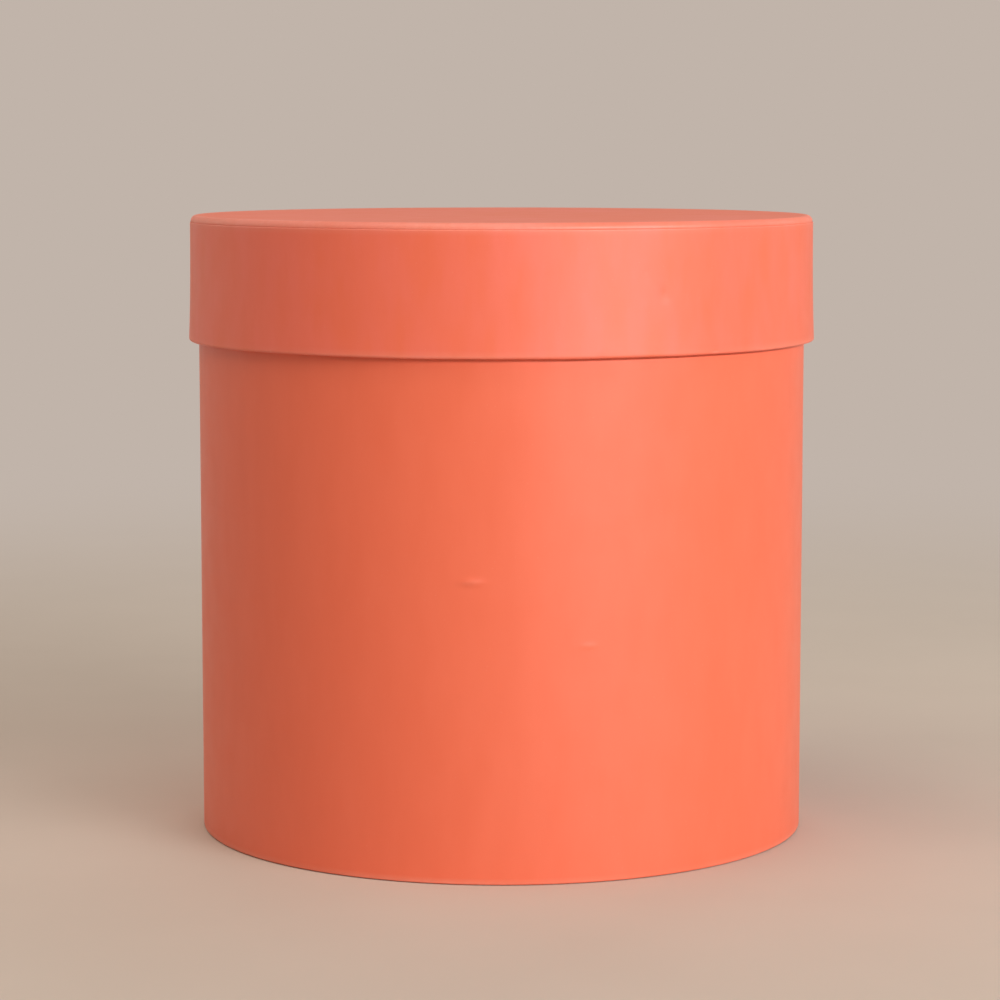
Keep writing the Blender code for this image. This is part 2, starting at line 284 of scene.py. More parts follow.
@dataclass(frozen=True)
class CoatedPaper:
    """Coated art paper, printed a solid coral and given a matt varnish, as covering paper is.

    The varnish gives a wide, soft sheen instead of a gloss. The ink is a little cloudy over centimetres, the
    paper's tooth breaks the sheen up, and the fold lines and corners are rubbed paler; on the lid's arris and
    along the rim strip's edges that paler tone is partly a painted highlight. A face that looks up can be
    drawn browner and greyer, which is painted shade, and made duller.
    """

    name: str
    radius: float
    marks: tuple[Mark, ...] = ()
    ink: str = "F57250"
    deep_ink: str = "F26E4B"
    # Pale tone of rubbed paper; on the lid's arris and the rim strip's edges it also stands for a painted
    # highlight
    rubbed_and_highlight_ink: str = "FFC4B2"
    ior: float = 1.6
    # The ink's clouds are drawn out along the height, as the printing rollers leave them
    clouds: Pattern = Pattern(38 * MM, 3.0)
    mottle: Pattern = Pattern(7 * MM, 4.0)
    cloud_squash: float = 0.3
    cloud_span: Pair = (0.75, 1.25)
    # Painted shade on a face that looks up: the grey-brown it is drawn towards, its share, the roughness it
    # adds and the slope where it starts
    painted_shade_colour: str = "A08C7C"
    painted_shade_share: float = 0.0
    dust_dulls: float = 0.23
    painted_shade_slope: Pair = (0.96, 1.0)
    roughness: float = 0.43
    varnish: Pattern = Pattern(11 * MM, 4.0)
    varnish_span: Pair = (0.3, 0.7)
    varnish_smoothest: float = -0.03
    varnish_roughest: float = 0.04
    rubbed_dulls: float = 0.25
    # Hands hold the box at some places more than at others
    handling: Pattern = Pattern(90 * MM, 1.0)
    handling_seed: float = 0.0
    handling_span: Pair = (0.33, 0.53)
    handled_least: float = 0.25
    patches: Pattern = Pattern(2.2 * MM, 5.0, roughness=0.65)
    patch_span: Pair = (0.35, 0.72)
    patch_least: float = 0.7
    fleck_spacing: float = 3.2 * MM
    fleck_span: Pair = (0.035, 0.07)
    fleck_rubbed: float = 0.09
    mark_reach: float = 3 * MM
    mark_core: float = 0.2
    # Real tooth is about 0.15 mm and would not show, so it is drawn four times as coarse
    tooth: Pattern = Pattern(0.6 * MM, 3.0, roughness=0.6)
    tooth_depth: float = 0.012 * MM
    grain: Pattern = Pattern(9 * MM, 2.0)
    grain_squash: float = 5.0
    grain_depth: float = 0.02 * MM

    def build(self) -> bpy.types.Material:
        """Make the material.

        Returns:
            The finished material.
        """
        material, node = blank_material(self.name)
        place = node("ShaderNodeTexCoord", out="Object")
        tall = node("ShaderNodeMapping", {"Vector": place, "Scale": (1.0, 1.0, self.cloud_squash)})
        clouds = node("ShaderNodeTexNoise", self.clouds.over(tall))
        mottle = node("ShaderNodeTexNoise", self.mottle.over(tall))
        depth = node("ShaderNodeMath", (clouds, mottle), operation="ADD")
        colour = two_toned(node, depth, self.cloud_span, self.deep_ink, self.ink)
        # Paler where the paper is rubbed, and where a highlight is painted on the lid's arris and strip edges
        worn = self.wear_and_highlight(node, place)
        colour = node("ShaderNodeMix", {SHARE: worn, FIRST: colour, SECOND: linear(self.rubbed_and_highlight_ink)}, **BLEND)
        rough = self.unevenness(node, place, worn)
        # A face that looks up gets painted shade, browner and greyer, and a rougher finish
        if self.painted_shade_share:
            colour, rough = self.painted_top_shade(node, colour, rough)
        finish_material(node, colour, rough, self.relief(node, place), self.ior)
        return material

    def painted_top_shade(self, node: Adder, colour: Socket, rough: Socket) -> tuple[Socket, Socket]:
        """Draw the faces that look up browner and greyer, as painted shade, and rougher.

        Args:
            node: adds a node to the material's tree.
            colour: the clean paper's colour.
            rough: its roughness.

        Returns:
            The paper's colour with its painted shade, and its roughness.
        """
        normal = node("ShaderNodeTexCoord", out="Normal")
        up = node("ShaderNodeSeparateXYZ", (normal,), out="Z")
        facing_up = node("ShaderNodeMapRange", (up, *self.painted_shade_slope, *FULL), **SMOOTH)
        painted_shade = node("ShaderNodeMath", (facing_up, self.painted_shade_share), operation="MULTIPLY")
        painted_shade_tone = linear(self.painted_shade_colour)
        colour = node("ShaderNodeMix", {SHARE: painted_shade, FIRST: colour, SECOND: painted_shade_tone}, **BLEND)
        rough = node("ShaderNodeMath", (facing_up, self.dust_dulls, rough), operation="MULTIPLY_ADD")
        return colour, rough

    def wear_and_highlight(self, node: Adder, place: Socket) -> Socket:
        """How pale the paper is drawn: rubbed along folds and cut edges, in its marks and in stray flecks; on
        the lid's arris and the rim strip's edges the folds' share is partly a painted highlight.

        Args:
            node: adds a node to the material's tree.
            place: object coordinates.

        Returns:
            Socket with 0 for sound paper and 1 for paper drawn fully pale, rubbed bare, with the lid's
            painted highlights counted in.
        """
        # The sheet's pale trait: rubbed paper, and on the lid's arris and strip edges partly a painted
        # highlight
        folds = node("ShaderNodeAttribute", out="Fac", attribute_name="worn")
        patches = node("ShaderNodeTexNoise", self.patches.over(place))
        patchy = node("ShaderNodeMapRange", (patches, *self.patch_span, self.patch_least, 1.0))
        handling = {**self.handling.over(place), "W": self.handling_seed}
        handled = node("ShaderNodeTexNoise", handling, **SEEDED)
        often = node("ShaderNodeMapRange", (handled, *self.handling_span, self.handled_least, 1.0))
        worn = node("ShaderNodeMath", (folds, patchy), operation="MULTIPLY")
        worn = node("ShaderNodeMath", (worn, often), operation="MULTIPLY")
        spread = {"Vector": place, "Scale": 1 / self.fleck_spacing, "Randomness": 1.0}
        flecks = node("ShaderNodeTexVoronoi", spread, out="Distance")
        fleck = node("ShaderNodeMapRange", (flecks, *self.fleck_span, self.fleck_rubbed, 0.0))
        worn = node("ShaderNodeMath", (worn, fleck), operation="MAXIMUM")
        for mark in self.marks:
            oval = {
                "Vector": place,
                "Location": mark.place(self.radius),
                "Rotation": (math.radians(mark.slant), 0.0, mark.angle),
                "Scale": (self.mark_reach, mark.length / 2, mark.width / 2),
            }
            local = node("ShaderNodeMapping", oval, vector_type="TEXTURE")
            reach = node("ShaderNodeVectorMath", (local,), out="Value", operation="LENGTH")
            rub = node("ShaderNodeMapRange", (reach, self.mark_core, 1.0, mark.rubbed, 0.0), **SMOOTH)
            broken = node("ShaderNodeMath", (rub, patchy), operation="MULTIPLY")
            worn = node("ShaderNodeMath", (worn, broken), operation="MAXIMUM")
        return worn

    def unevenness(self, node: Adder, place: Socket, worn: Socket) -> Socket:
        """Roughness: the varnish's own, a little uneven, and duller where it is rubbed.

        Args:
            node: adds a node to the material's tree.
            place: object coordinates.
            worn: how pale the paper is drawn, where it is rubbed and where a highlight is painted.

        Returns:
            Socket with the roughness.
        """
        uneven = node("ShaderNodeTexNoise", self.varnish.over(place))
        ends = (self.roughness + self.varnish_smoothest, self.roughness + self.varnish_roughest)
        varnish = node("ShaderNodeMapRange", (uneven, *self.varnish_span, *ends))
        dull = node("ShaderNodeMath", (worn, self.rubbed_dulls), operation="MULTIPLY")
        return node("ShaderNodeMath", (varnish, dull), operation="ADD")

    def relief(self, node: Adder, place: Socket) -> Socket:
        """Relief of the paper: its tooth, and the long grain of the board under it.

        Args:
            node: adds a node to the material's tree.
            place: object coordinates.

        Returns:
            Socket with the bent normal.
        """
        tooth = node("ShaderNodeTexNoise", self.tooth.over(place))
        drawn = node("ShaderNodeMapping", {"Vector": place, "Scale": (1.0, 1.0, self.grain_squash)})
        grain = node("ShaderNodeTexNoise", self.grain.over(drawn))
        under = node("ShaderNodeBump", {"Height": grain, "Distance": self.grain_depth, "Strength": 1.0})
        over = {"Height": tooth, "Distance": self.tooth_depth, "Strength": 1.0, "Normal": under}
        return node("ShaderNodeBump", over)


@dataclass(frozen=True)
class LiningPaper:
    """Uncoated wood-free lining paper, calendered but not varnished.

    It is off-white and fully matt, with short fibres that show as faint pale and dark hairs.
    """

    name: str
    pale: str = "F4EFE6"
    shade: str = "F0EADF"
    fibre: str = "D8CFBF"
    roughness: float = 0.86
    roughness_swing: float = 0.05
    ior: float = 1.5
    clouds: Pattern = Pattern(30 * MM, 4.0)
    cloud_span: Pair = (0.35, 0.65)
    # Fibres are about 0.03 mm across and would not show, so they are drawn twelve times as wide
    fibre_width: float = 0.35 * MM
    fibre_length: float = 2.6 * MM
    hairs: Pattern = Pattern(1.0, 2.0, distortion=1.4)
    hair_span: Pair = (0.62, 0.74)
    hair_depth: float = 0.55
    tooth: Pattern = Pattern(0.5 * MM, 4.0)
    tooth_span: Pair = (0.3, 0.7)
    tooth_depth: float = 0.02 * MM

    def build(self) -> bpy.types.Material:
        """Make the material.

        Returns:
            The finished material.
        """
        material, node = blank_material(self.name)
        place = node("ShaderNodeTexCoord", out="Object")
        clouds = node("ShaderNodeTexNoise", self.clouds.over(place))
        colour = two_toned(node, clouds, self.cloud_span, self.shade, self.pale)
        fibre_scale = (1 / self.fibre_length, 1 / self.fibre_length, 1 / self.fibre_width)
        along = node("ShaderNodeMapping", {"Vector": place, "Scale": fibre_scale})
        hairs = node("ShaderNodeTexNoise", self.hairs.over(along))
        hair = node("ShaderNodeMapRange", (hairs, *self.hair_span, 0.0, self.hair_depth))
        colour = node("ShaderNodeMix", {SHARE: hair, FIRST: colour, SECOND: linear(self.fibre)}, **BLEND)
        tooth = node("ShaderNodeTexNoise", self.tooth.over(place))
        height = node("ShaderNodeMath", (tooth, hair), operation="ADD")
        relief = node("ShaderNodeBump", {"Height": height, "Distance": self.tooth_depth, "Strength": 1.0})
        ends = (self.roughness - self.roughness_swing, self.roughness + self.roughness_swing)
        rough = node("ShaderNodeMapRange", (tooth, *self.tooth_span, *ends))
        finish_material(node, colour, rough, relief, self.ior)
        return material


@dataclass(frozen=True)
class GreyBoard:
    """Grey board, pressed from recycled pulp.

    It is a dull grey-brown with pale and dark scraps of old paper in it, and has no sheen at all.
    """

    name: str
    pale: str = "A79C8C"
    dark: str = "847866"
    scrap: str = "D6CDBD"
    roughness: float = 0.93
    roughness_swing: float = 0.05
    ior: float = 1.5
    pulp: Pattern = Pattern(5 * MM, 6.0, roughness=0.7)
    pulp_span: Pair = (0.35, 0.65)
    scrap_size: float = 1.6 * MM
    scrap_span: Pair = (0.12, 0.24)
    scrap_share: float = 0.8
    fibres: Pattern = Pattern(0.7 * MM, 5.0, distortion=2.0)
    fibre_span: Pair = (0.3, 0.7)
    fibre_depth: float = 0.06 * MM

    def build(self) -> bpy.types.Material:
        """Make the material.

        Returns:
            The finished material.
        """
        material, node = blank_material(self.name)
        place = node("ShaderNodeTexCoord", out="Object")
        pulp = node("ShaderNodeTexNoise", self.pulp.over(place))
        colour = two_toned(node, pulp, self.pulp_span, self.dark, self.pale)
        scraps = node("ShaderNodeTexVoronoi", {"Vector": place, "Scale": 1 / self.scrap_size}, out="Distance")
        scrap = node("ShaderNodeMapRange", (scraps, *self.scrap_span, self.scrap_share, 0.0))
        colour = node("ShaderNodeMix", {SHARE: scrap, FIRST: colour, SECOND: linear(self.scrap)}, **BLEND)
        fibres = node("ShaderNodeTexNoise", self.fibres.over(place))
        relief = node("ShaderNodeBump", {"Height": fibres, "Distance": self.fibre_depth, "Strength": 1.0})
        ends = (self.roughness - self.roughness_swing, self.roughness + self.roughness_swing)
        rough = node("ShaderNodeMapRange", (fibres, *self.fibre_span, *ends))
        finish_material(node, colour, rough, relief, self.ior)
        return material


@dataclass(frozen=True)
class Row:
    """One ring of a wound sheet, and how the sheet behaves there.

    Attributes:
        radius: distance from the axis.
        height: height above the ground.
        worn: how pale the sheet is drawn, from 0 to 1: rubbed paper, and partly a painted highlight on the
            lid's arris and edges.
        pucker: how much it gathers into small creases, from 0 to 1.
        notch: how far its notches are open, from 0 at their roots to 1.
        sway: how much its height wavers, from 0 to 1.
    """

    radius: float
    height: float
    worn: float = 0.0
    pucker: float = 0.0
    notch: float = 0.0
    sway: float = 0.0

    def towards(self, other: "Row", share: float) -> "Row":
        """Row part of the way to another, with every trait between theirs."""
        mine, theirs = vars(self), vars(other)
        return Row(**{name: mine[name] + (theirs[name] - mine[name]) * share for name in mine})


def arc(centre: Pair, radius: float, start: float, end: float, steps: int, **traits: float) -> list[Row]:
    """Rows along a round corner of a section.

    Args:
        centre: radius and height of the corner's centre.
        radius: the corner's own radius.
        start: angle that it starts at, in degrees, where 0 points away from the axis and 90 points up.
        end: angle that it ends at.
        steps: into how many pieces the corner is divided.
        traits: the rows' other values.

    Returns:
        The rows, both ends among them.
    """
    rows = []
    for step in range(steps + 1):
        angle = math.radians(start + (end - start) * step / steps)
        rows.append(Row(centre[0] + radius * math.cos(angle), centre[1] + radius * math.sin(angle), **traits))
    return rows


def filled(rows: list[Row], spacing: float, fine: Iterable[Triple] = ()) -> list[Row]:
    """Add rows so that none is too far from the next.

    Args:
        rows: the section's own rows.
        spacing: how far apart two rows may be.
        fine: zones with a closer spacing, each as its lowest height, its highest height and its spacing.

    Returns:
        The rows with the added ones between them.
    """
    rounding = 1e-6
    made = [rows[0]]
    for start, end in zip(rows, rows[1:]):
        drop = end.height - start.height
        edges = [edge for low, high, _ in fine for edge in (low, high)]
        shares = [(edge - start.height) / drop for edge in edges if drop]
        ends = sorted({0.0, 1.0, *(share for share in shares if 0 < share < 1)})
        for first, last in zip(ends, ends[1:]):
            middle = start.towards(end, (first + last) / 2).height
            near = [step for low, high, step in fine if low <= middle <= high]
            length = math.dist((start.radius, start.height), (end.radius, end.height)) * (last - first)
            pieces = max(1, math.ceil(length / min([spacing, *near]) - rounding))
            made += [start.towards(end, first + (last - first) * (n + 1) / pieces) for n in range(pieces)]
    return made


class SheetTree:
    """Makes a Geometry Nodes tree that takes a chain or a sheet and gives a sheet.

    Attributes:
        name: the tree's name.
        inputs: the kind of each input, by the input's name.
        tree: the tree itself.
        given: the socket of each input, by the input's name.
        node: adds a node to the tree.
    """

    name: str
    inputs: dict[str, str]

    def __init__(self) -> None:
        """Start the tree, with its inputs and its output."""
        self.tree = bpy.data.node_groups.new(self.name, "GeometryNodeTree")
        for label, kind in self.inputs.items():
            self.tree.interface.new_socket(label, in_out="INPUT", socket_type=f"NodeSocket{kind}")
        self.tree.interface.new_socket("Sheet", in_out="OUTPUT", socket_type="NodeSocketGeometry")
        entry = self.tree.nodes.new("NodeGroupInput")
        self.given = {socket.name: socket for socket in entry.outputs if socket.name}
        self.node: Adder = partial(add, self.tree)
        self.build()

    def build(self) -> None:
        """Add every node of the tree."""
        raise NotImplementedError

    def give(self, piece: bpy.types.Object, values: dict[str, Any]) -> None:
        """Put the tree on a piece and set its inputs.

        Args:
            piece: the piece.
            values: a value for each input, by the input's name.
        """
        modifier = piece.modifiers.new(self.name, "NODES")
        modifier.node_group = self.tree
        for item in self.tree.interface.items_tree:
            if item.in_out == "INPUT" and item.name in values:
                modifier[item.identifier] = values[item.name]


class WindingTree(SheetTree):
    """The tree that winds a section round the axis.

    The section comes in as a chain of points, each with its traits as attributes. The tree turns them into
    a grid, one column for each step round the axis, and lifts the end of the sheet by one ply where it laps
    over the start. It then creases, waves and notches the sheet as the traits say.

    Attributes:
        own: where a point of the sheet is.
        gone: how far round from the sheet's start it is.
        tabs: how many tabs that is.
        level: where it is, with its height left out.
    """

    name = "wound sheet"
    inputs = {
        "Section": "Geometry",
        "Columns": "Int",
        "Column Angle": "Float",
        "Start": "Float",
        "Ply": "Float",
        "Lap Run": "Float",
        "Pucker Depth": "Float",
        "Pucker Length": "Float",
        "Sway Height": "Float",
        "Sway Length": "Float",
        "Uneven Depth": "Float",
        "Uneven Length": "Float",
        "Tab Angle": "Float",
        "Notch Share": "Float",
        "Seed": "Float",
        "Material": "Material",
    }
    weld: float = 0.001 * MM
    # A crease takes only this share of the noise's swing, so creases are narrow, with flat paper between them
    crease_share: float = 0.09
    crease_detail: float = 1.0
    slow_detail: float = 2.0
    slow_squash: float = 0.4
    border_share: float = 0.01
    nearly_one: float = 0.99

    def build(self) -> None:
        """Add every node of the tree."""
        node = self.node
        self.own = node("GeometryNodeInputPosition")
        self.gone = node("GeometryNodeInputNamedAttribute", ("gone",), **NUMBER)
        self.tabs = node("ShaderNodeMath", (self.gone, self.given["Tab Angle"]), operation="DIVIDE")
        self.level = node("ShaderNodeVectorMath", (self.own, (1.0, 1.0, 0.0)), operation="MULTIPLY")
        sheet = self.numbered(self.grid())
        sheet = node("GeometryNodeMergeByDistance", {"Geometry": sheet, "Distance": self.weld})
        sheet = self.notched(self.wavering(self.raised(sheet)))
        sheet = node("GeometryNodeSetShadeSmooth", (sheet,))
        sheet = node("GeometryNodeRealizeInstances", (sheet,))
        sheet = node("GeometryNodeSetMaterial", {"Geometry": sheet, "Material": self.given["Material"]})
        node("NodeGroupOutput", (sheet,))

    def grid(self) -> Socket:
        """Turn the section into a grid whose points stand round the axis, each with its row's traits.

        Returns:
            The sheet.
        """
        node, given = self.node, self.given
        section = given["Section"]
        rows = node("GeometryNodeAttributeDomainSize", (section,), out="Point Count", component="MESH")
        index = node("GeometryNodeInputIndex")
        column = node("ShaderNodeMath", (index, rows), operation="DIVIDE")
        column = node("ShaderNodeMath", (column,), operation="FLOOR")
        row = node("ShaderNodeMath", (index, rows), operation="MODULO")
        columns = node("ShaderNodeMath", (given["Columns"], 1.0), operation="ADD")
        sheet = node("GeometryNodeMeshGrid", {"Vertices X": columns, "Vertices Y": rows}, out="Mesh")
        for trait in TRAITS:
            value = node("GeometryNodeInputNamedAttribute", (trait,), **NUMBER)
            value = node("GeometryNodeSampleIndex", (section, value, row), **NUMBER)
            sheet = node("GeometryNodeStoreNamedAttribute", (sheet, None, trait, value), **ON_POINTS)
        gone = node("ShaderNodeMath", (column, given["Column Angle"]), operation="MULTIPLY")
        sheet = node("GeometryNodeStoreNamedAttribute", (sheet, None, "gone", gone), **ON_POINTS)
        angle = node("ShaderNodeMath", (gone, given["Start"]), operation="ADD")
        spot = node("GeometryNodeSampleIndex", (section, self.own, row), data_type="FLOAT_VECTOR")
        turned = node("ShaderNodeVectorRotate", {"Vector": spot, "Angle": angle}, rotation_type="Z_AXIS")
        return node("GeometryNodeSetPosition", {"Geometry": sheet, "Position": turned})

    def numbered(self, sheet: Socket) -> Socket:
        """Tell each face the middle of its tab, before the seam and the poles are closed.

        Args:
            sheet: the sheet.

        Returns:
            The sheet with the attribute.
        """
        node, given = self.node, self.given
        middle = node("ShaderNodeMath", (self.tabs,), operation="FLOOR")
        middle = node("ShaderNodeMath", (middle, 0.5), operation="ADD")
        middle = node("ShaderNodeMath", (middle, given["Tab Angle"]), operation="MULTIPLY")
        middle = node("ShaderNodeMath", (middle, given["Start"]), operation="ADD")
        return node("GeometryNodeStoreNamedAttribute", (sheet, None, "tab_middle", middle), **ON_FACES)

    def swing(self, place: Socket, length: Socket, detail: float) -> Socket:
        """Seeded noise about zero.

        Args:
            place: the coordinates that it reads.
            length: how far apart its high places are.
            detail: how many finer patterns lie over it.

        Returns:
            Socket with the noise.
        """
        node = self.node
        scale = node("ShaderNodeMath", (1.0, length), operation="DIVIDE")
        spot = node("ShaderNodeVectorMath", {0: place, "Scale": scale}, operation="SCALE")
        noise = {"Vector": spot, "W": self.given["Seed"], "Scale": 1.0, "Detail": detail}
        noise = node("ShaderNodeTexNoise", noise, **SEEDED)
        return node("ShaderNodeMath", (noise, 0.5), operation="SUBTRACT")

    def raised(self, sheet: Socket) -> Socket:
        """Move the sheet along its own normal, by the lap's lift, the creases and the slow unevenness.

        Args:
            sheet: the flat sheet.

        Returns:
            The uneven sheet.
        """
        node, given = self.node, self.given
        late = node("ShaderNodeMath", (TURN, given["Lap Run"]), operation="SUBTRACT")
        lift = node("ShaderNodeMapRange", (self.gone, late, TURN, 0.0, given["Ply"]), **SMOOTH)
        folds = self.swing(self.level, given["Pucker Length"], self.crease_detail)
        folds = node("ShaderNodeMath", (folds,), operation="ABSOLUTE")
        folds = node("ShaderNodeMapRange", (folds, 0.0, self.crease_share, 1.0, 0.0), **SMOOTHER)
        pucker = node("GeometryNodeInputNamedAttribute", ("pucker",), **NUMBER)
        folds = node("ShaderNodeMath", (folds, pucker), operation="MULTIPLY")
        folds = node("ShaderNodeMath", (folds, given["Pucker Depth"]), operation="MULTIPLY")
        tall = node("ShaderNodeVectorMath", (self.own, (1.0, 1.0, self.slow_squash)), operation="MULTIPLY")
        slow = self.swing(tall, given["Uneven Length"], self.slow_detail)
        slow = node("ShaderNodeMath", (slow, given["Uneven Depth"]), operation="MULTIPLY")
        shift = node("ShaderNodeMath", (lift, folds), operation="ADD")
        shift = node("ShaderNodeMath", (shift, slow), operation="ADD")
        normal = node("GeometryNodeInputNormal")
        offset = node("ShaderNodeVectorMath", {0: normal, "Scale": shift}, operation="SCALE")
        return node("GeometryNodeSetPosition", {"Geometry": sheet, "Offset": offset})

    def wavering(self, sheet: Socket) -> Socket:
        """Let the height of a hand-turned edge waver.

        Args:
            sheet: the sheet with a level edge.

        Returns:
            The sheet with a wavering edge.
        """
        node, given = self.node, self.given
        waver = self.swing(self.level, given["Sway Length"], self.slow_detail)
        sway = node("GeometryNodeInputNamedAttribute", ("sway",), **NUMBER)
        waver = node("ShaderNodeMath", (waver, sway), operation="MULTIPLY")
        waver = node("ShaderNodeMath", (waver, given["Sway Height"]), operation="MULTIPLY")
        up = node("ShaderNodeCombineXYZ", {"Z": waver})
        return node("GeometryNodeSetPosition", {"Geometry": sheet, "Offset": up})

    def notched(self, sheet: Socket) -> Socket:
        """Cut the sheet between its tabs, and draw each tab in towards its own middle.

        Args:
            sheet: the whole sheet.

        Returns:
            The cut sheet.
        """
        node, given = self.node, self.given
        nearest = node("ShaderNodeMath", (self.tabs,), operation="ROUND")
        off = node("ShaderNodeMath", (self.tabs, nearest), operation="SUBTRACT")
        off = node("ShaderNodeMath", (off,), operation="ABSOLUTE")
        border = node("ShaderNodeMath", (off, self.border_share), operation="LESS_THAN")
        sheet = node("GeometryNodeStoreNamedAttribute", (sheet, None, "border", border), **ON_POINTS)
        border = node("GeometryNodeInputNamedAttribute", ("border",), **NUMBER)
        border = node("ShaderNodeMath", (border, self.nearly_one), operation="GREATER_THAN")
        notch = node("GeometryNodeInputNamedAttribute", ("notch",), **NUMBER)
        opened = node("ShaderNodeMath", (notch, 0.0), operation="GREATER_THAN")
        cut = node("ShaderNodeMath", (border, opened), operation="MULTIPLY")
        sheet = node("GeometryNodeSplitEdges", {"Mesh": sheet, "Selection": cut})
        middle = node("GeometryNodeInputNamedAttribute", ("tab_middle",), **NUMBER)
        parts = node("ShaderNodeSeparateXYZ", (self.own,)).node.outputs
        bearing = node("ShaderNodeMath", (parts["Y"], parts["X"]), operation="ARCTAN2")
        away = node("ShaderNodeMath", (middle, bearing), operation="SUBTRACT")
        away = node("ShaderNodeMath", (away, math.pi, -math.pi), operation="WRAP")
        away = node("ShaderNodeMath", (away, notch), operation="MULTIPLY")
        away = node("ShaderNodeMath", (away, given["Notch Share"]), operation="MULTIPLY")
        drawn = node("ShaderNodeVectorRotate", {"Vector": self.own, "Angle": away}, rotation_type="Z_AXIS")
        return node("GeometryNodeSetPosition", {"Geometry": sheet, "Position": drawn})


class MarkTree(SheetTree):
    """The tree that presses one mark into a sheet, as a smooth oval."""

    name = "handling mark"
    inputs = {
        "Sheet": "Geometry",
        "Place": "Vector",
        "Angle": "Float",
        "Slant": "Float",
        "Half Length": "Float",
        "Half Width": "Float",
        "Rise": "Float",
    }
    reach: float = 4 * MM
    steepness: float = -2.0

    def build(self) -> None:
        """Add every node of the tree."""
        node, given = self.node, self.given
        own = node("GeometryNodeInputPosition")
        away = node("ShaderNodeVectorMath", (own, given["Place"]), operation="SUBTRACT")
        for name, axis in (("Angle", "Z_AXIS"), ("Slant", "X_AXIS")):
            back = node("ShaderNodeMath", (given[name], -1.0), operation="MULTIPLY")
            away = node("ShaderNodeVectorRotate", {"Vector": away, "Angle": back}, rotation_type=axis)
        parts = node("ShaderNodeSeparateXYZ", (away,)).node.outputs
        sizes = {"X": self.reach, "Y": given["Half Length"], "Z": given["Half Width"]}
        shares = [node("ShaderNodeMath", (parts[way], sizes[way]), operation="DIVIDE") for way in sizes]
        reach = node("ShaderNodeCombineXYZ", tuple(shares))
        square = node("ShaderNodeVectorMath", (reach, reach), out="Value", operation="DOT_PRODUCT")
        square = node("ShaderNodeMath", (square, self.steepness), operation="MULTIPLY")
        fade = node("ShaderNodeMath", (square,), operation="EXPONENT")
        rise = node("ShaderNodeMath", (fade, given["Rise"]), operation="MULTIPLY")
        normal = node("GeometryNodeInputNormal")
        offset = node("ShaderNodeVectorMath", {0: normal, "Scale": rise}, operation="SCALE")
        sheet = node("GeometryNodeSetPosition", {"Geometry": given["Sheet"], "Offset": offset})
        node("NodeGroupOutput", (node("GeometryNodeRealizeInstances", (sheet,)),))


@dataclass(frozen=True)
class Stock:
    """Paper or board that a piece is made of.

    Attributes:
        material: how its face looks.
        slot: the record's material slot for it.
        thickness: its thickness, or zero where the section itself goes all the way round the piece.
    """

    material: bpy.types.Material
    slot: Slot
    thickness: float = 0.0


@dataclass(frozen=True)
class Winding:
    """How a sheet is wound round the axis.

    Attributes:
        bearing: where it starts, in degrees round from the front.
        column_angle: angle of one column of its grid, in degrees.
        lap_angle: how far its end laps over its start, in degrees. Without a lap it closes on itself.
        lap_glue: thickness of the glue in the lap.
        lap_columns: over how many columns the end climbs on to the start.
        pucker_depth: height of its creases.
        pucker_length: how far apart they are.
        sway_height: how far the height of its edge wavers.
        sway_length: how far apart the wavers are.
        uneven_depth: how far its face is out of true.
        uneven_length: how far apart the high places are.
        tabs: into how many tabs a full turn is cut. A sheet without notched rows has none.
        notch_share: share of a tab's width that its notch takes, at its widest.
        seed: number that sets the wavers and creases.
    """

    bearing: float = 0.0
    column_angle: float = 1.0
    lap_angle: float = 0.0
    lap_glue: float = 0.02 * MM
    lap_columns: int = 2
    pucker_depth: float = 0.0
    pucker_length: float = 7 * MM
    sway_height: float = 0.0
    sway_length: float = 45 * MM
    uneven_depth: float = 0.0
    uneven_length: float = 40 * MM
    tabs: int = 30
    notch_share: float = 0.0
    seed: float = 1.0

    def inputs(self, stock: Stock) -> dict[str, Any]:
        """Inputs of the winding tree.

        Args:
            stock: what the sheet is made of.

        Returns:
            A value for each input, by name.
        """
        return {
            "Columns": round((CIRCLE + self.lap_angle) / self.column_angle),
            "Column Angle": math.radians(self.column_angle),
            "Start": math.radians(self.bearing + FRONT),
            "Ply": stock.thickness + self.lap_glue if self.lap_angle else 0.0,
            "Lap Run": math.radians(self.lap_columns * self.column_angle),
            "Pucker Depth": self.pucker_depth,
            "Pucker Length": self.pucker_length,
            "Sway Height": self.sway_height,
            "Sway Length": self.sway_length,
            "Uneven Depth": self.uneven_depth,
            "Uneven Length": self.uneven_length,
            "Tab Angle": TURN / self.tabs,
            "Notch Share": self.notch_share,
            "Seed": self.seed,
            "Material": stock.material,
        }


